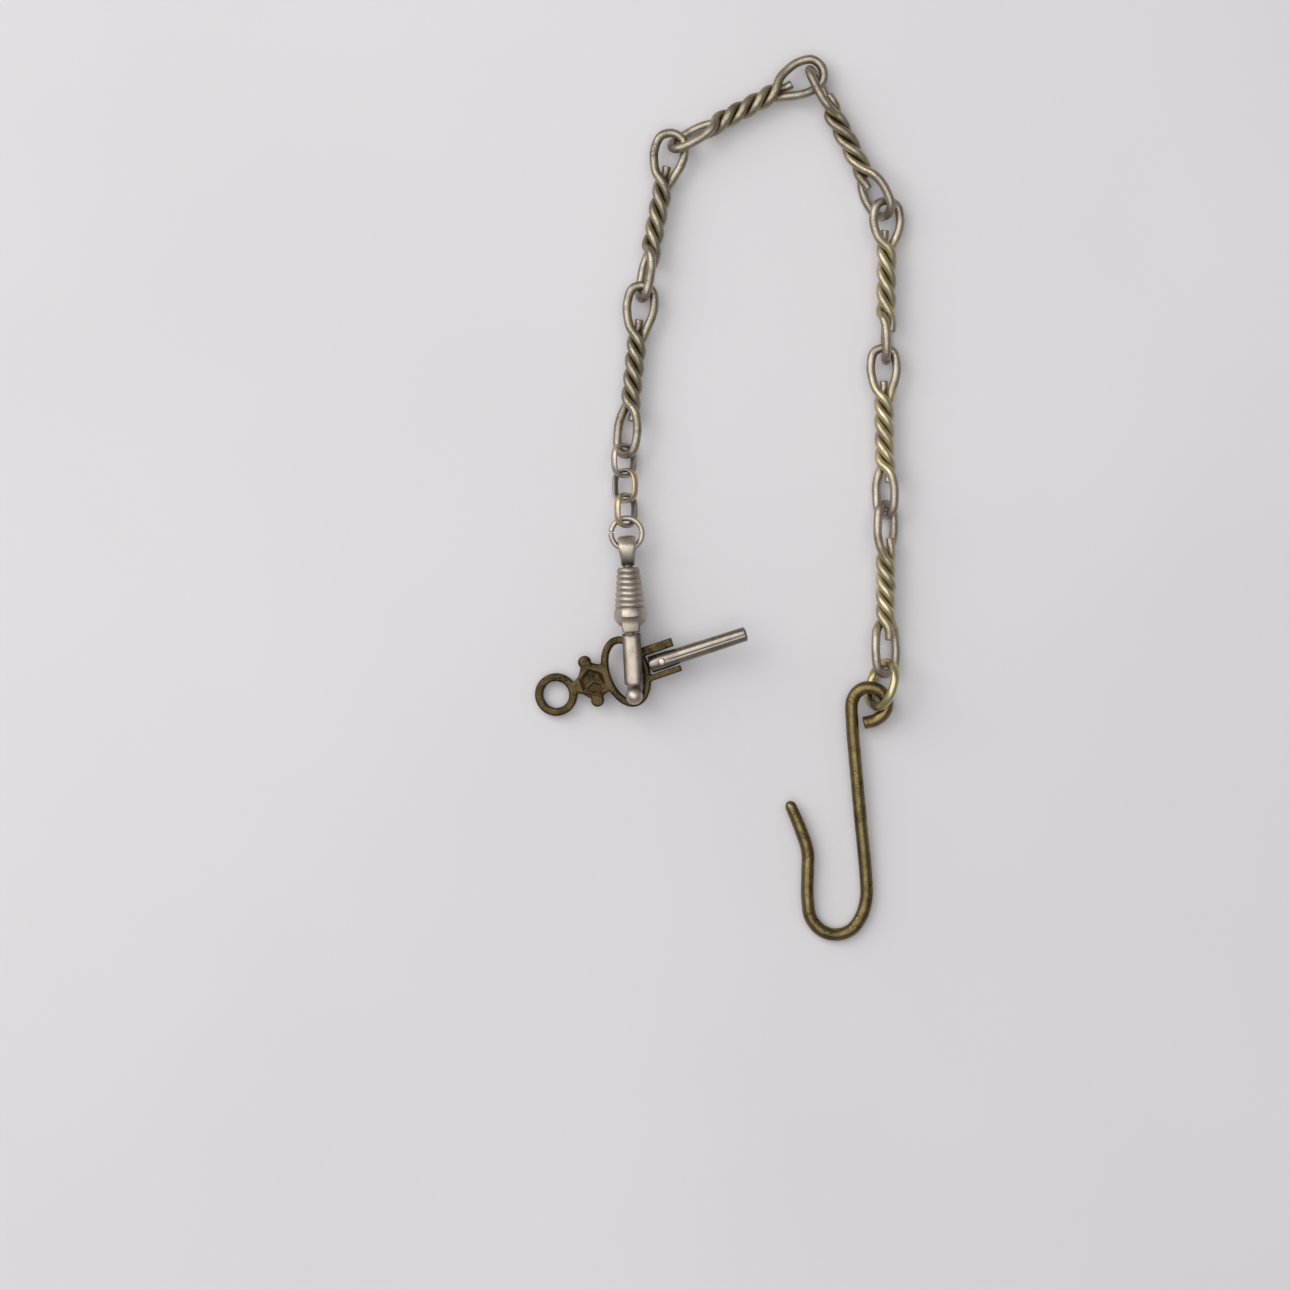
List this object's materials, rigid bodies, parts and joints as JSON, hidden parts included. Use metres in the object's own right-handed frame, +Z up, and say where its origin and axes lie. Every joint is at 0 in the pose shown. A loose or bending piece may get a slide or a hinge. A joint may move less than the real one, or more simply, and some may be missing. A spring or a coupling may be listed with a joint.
{
  "type": "pocket watch chain",
  "caption": "Pocket watch chain of twisted-wire links with a waistcoat hook, belcher links and a swivel snap that carries a watch key.",
  "frame": {"origin": "on the table under the middle of the laid-out chain", "axes": "+Y along the chain towards its far turn, +X across it towards the waistcoat hook, +Z up from the table"},
  "size_m": [0.0604, 0.1447, 0.0082],
  "materials": {
    "nickel_silver": "tarnished nickel silver, brown in the grooves",
    "bright_nickel": "bright worn nickel",
    "antique_brass": "dark antique brass with rubbed highlights",
    "pale_brass": "pale worn brass",
    "dark_bronze": "dark cast bronze, satin",
    "polished_steel": "polished steel with fine draw lines",
    "spring_steel": "plain spring steel"
  },
  "bodies": {
    "waistcoat_hook": {"waistcoat_hook": "antique_brass"},
    "hook_ring": {"hook_ring": "pale_brass"},
    "twisted_link_7": {"twisted_link_7": "nickel_silver"},
    "twisted_link_6": {"twisted_link_6": "nickel_silver"},
    "twisted_link_5": {"twisted_link_5": "nickel_silver"},
    "twisted_link_4": {"twisted_link_4": "nickel_silver"},
    "twisted_link_3": {"twisted_link_3": "nickel_silver"},
    "twisted_link_2": {"twisted_link_2": "nickel_silver"},
    "twisted_link_1": {"twisted_link_1": "nickel_silver"},
    "belcher_link_1": {"belcher_link_1": "bright_nickel"},
    "belcher_link_2": {"belcher_link_2": "bright_nickel"},
    "belcher_link_3": {"belcher_link_3": "bright_nickel"},
    "jump_ring": {"jump_ring": "bright_nickel"},
    "swivel_eye": {"swivel_eye": "bright_nickel"},
    "snap": {"snap_body": "bright_nickel", "gate_pin": "polished_steel", "gate_spring": "spring_steel"},
    "gate": {"snap_gate": "bright_nickel"},
    "key": {"key_bow": "dark_bronze", "key_pipe": "polished_steel", "key_rivet": "polished_steel"}
  },
  "joints": [
    {"name": "hook_ring_swing", "type": "hinge", "parent": "waistcoat_hook", "child": "hook_ring", "pos_m": [0.0254, -0.034, 0.0029], "axis": [0, 0, 1], "range_deg": [-20, 25]},
    {"name": "link_7_swing", "type": "hinge", "parent": "hook_ring", "child": "twisted_link_7", "pos_m": [0.0273, -0.0272, 0.0032], "axis": [0, 0, -1], "range_deg": [-25, 25]},
    {"name": "link_6_swing", "type": "hinge", "parent": "twisted_link_7", "child": "twisted_link_6", "pos_m": [0.027, -0.002, 0.00295], "axis": [0, 0, 1], "range_deg": [-35, 30]},
    {"name": "link_5_swing", "type": "hinge", "parent": "twisted_link_6", "child": "twisted_link_5", "pos_m": [0.027, 0.0224, 0.00295], "axis": [0, 0, 1], "range_deg": [-85, 22]},
    {"name": "link_4_swing", "type": "hinge", "parent": "twisted_link_5", "child": "twisted_link_4", "pos_m": [0.02735, 0.0475, 0.00295], "axis": [0, 0, 1], "range_deg": [-20, 15]},
    {"name": "link_3_swing", "type": "hinge", "parent": "twisted_link_4", "child": "twisted_link_3", "pos_m": [0.01465, 0.0699, 0.00295], "axis": [0, 0, -1], "range_deg": [-15, 75]},
    {"name": "link_2_swing", "type": "hinge", "parent": "twisted_link_3", "child": "twisted_link_2", "pos_m": [-0.00755, 0.05705, 0.00295], "axis": [0, 0, -1], "range_deg": [-20, 75]},
    {"name": "link_1_swing", "type": "hinge", "parent": "twisted_link_2", "child": "twisted_link_1", "pos_m": [-0.01285, 0.03255, 0.00295], "axis": [0, 0, -1], "range_deg": [-30, 85]},
    {"name": "belcher_1_swing", "type": "hinge", "parent": "twisted_link_1", "child": "belcher_link_1", "pos_m": [-0.0157, 0.0078, 0.003], "axis": [0, 0, 1], "range_deg": [-30, 30]},
    {"name": "belcher_2_swing", "type": "hinge", "parent": "belcher_link_1", "child": "belcher_link_2", "pos_m": [-0.01565, 0.00405, 0.00325], "axis": [0, 0, -1], "range_deg": [-22, 30]},
    {"name": "belcher_3_swing", "type": "hinge", "parent": "belcher_link_2", "child": "belcher_link_3", "pos_m": [-0.0155, 0, 0.00355], "axis": [0, 0, 1], "range_deg": [-35, 35]},
    {"name": "jump_ring_swing", "type": "hinge", "parent": "belcher_link_3", "child": "jump_ring", "pos_m": [-0.01535, -0.0039, 0.00385], "axis": [0, 0, -1], "range_deg": [-16, 38]},
    {"name": "eye_swing", "type": "hinge", "parent": "jump_ring", "child": "swivel_eye", "pos_m": [-0.0152, -0.0071, 0.0041], "axis": [0, 0, 1], "range_deg": [-22, 16]},
    {"name": "barrel_swivel", "type": "hinge", "parent": "swivel_eye", "child": "snap", "pos_m": [-0.01505, -0.0114, 0.00407], "axis": [-0.0489, 0.9988, 0], "continuous": true},
    {"name": "gate_hinge", "type": "hinge", "parent": "snap", "child": "gate", "pos_m": [-0.01448, -0.02314, 0.00677], "axis": [0.9988, 0.0489, 0], "range_deg": [0, 13], "stiffness_Nm_per_rad": 0.002, "springref_deg": -17.19},
    {"name": "key_swing", "type": "hinge", "parent": "snap", "child": "key", "pos_m": [-0.01407, -0.03148, 0.00347], "axis": [0, 0, -1], "range_deg": [-8, 8]}
  ]
}
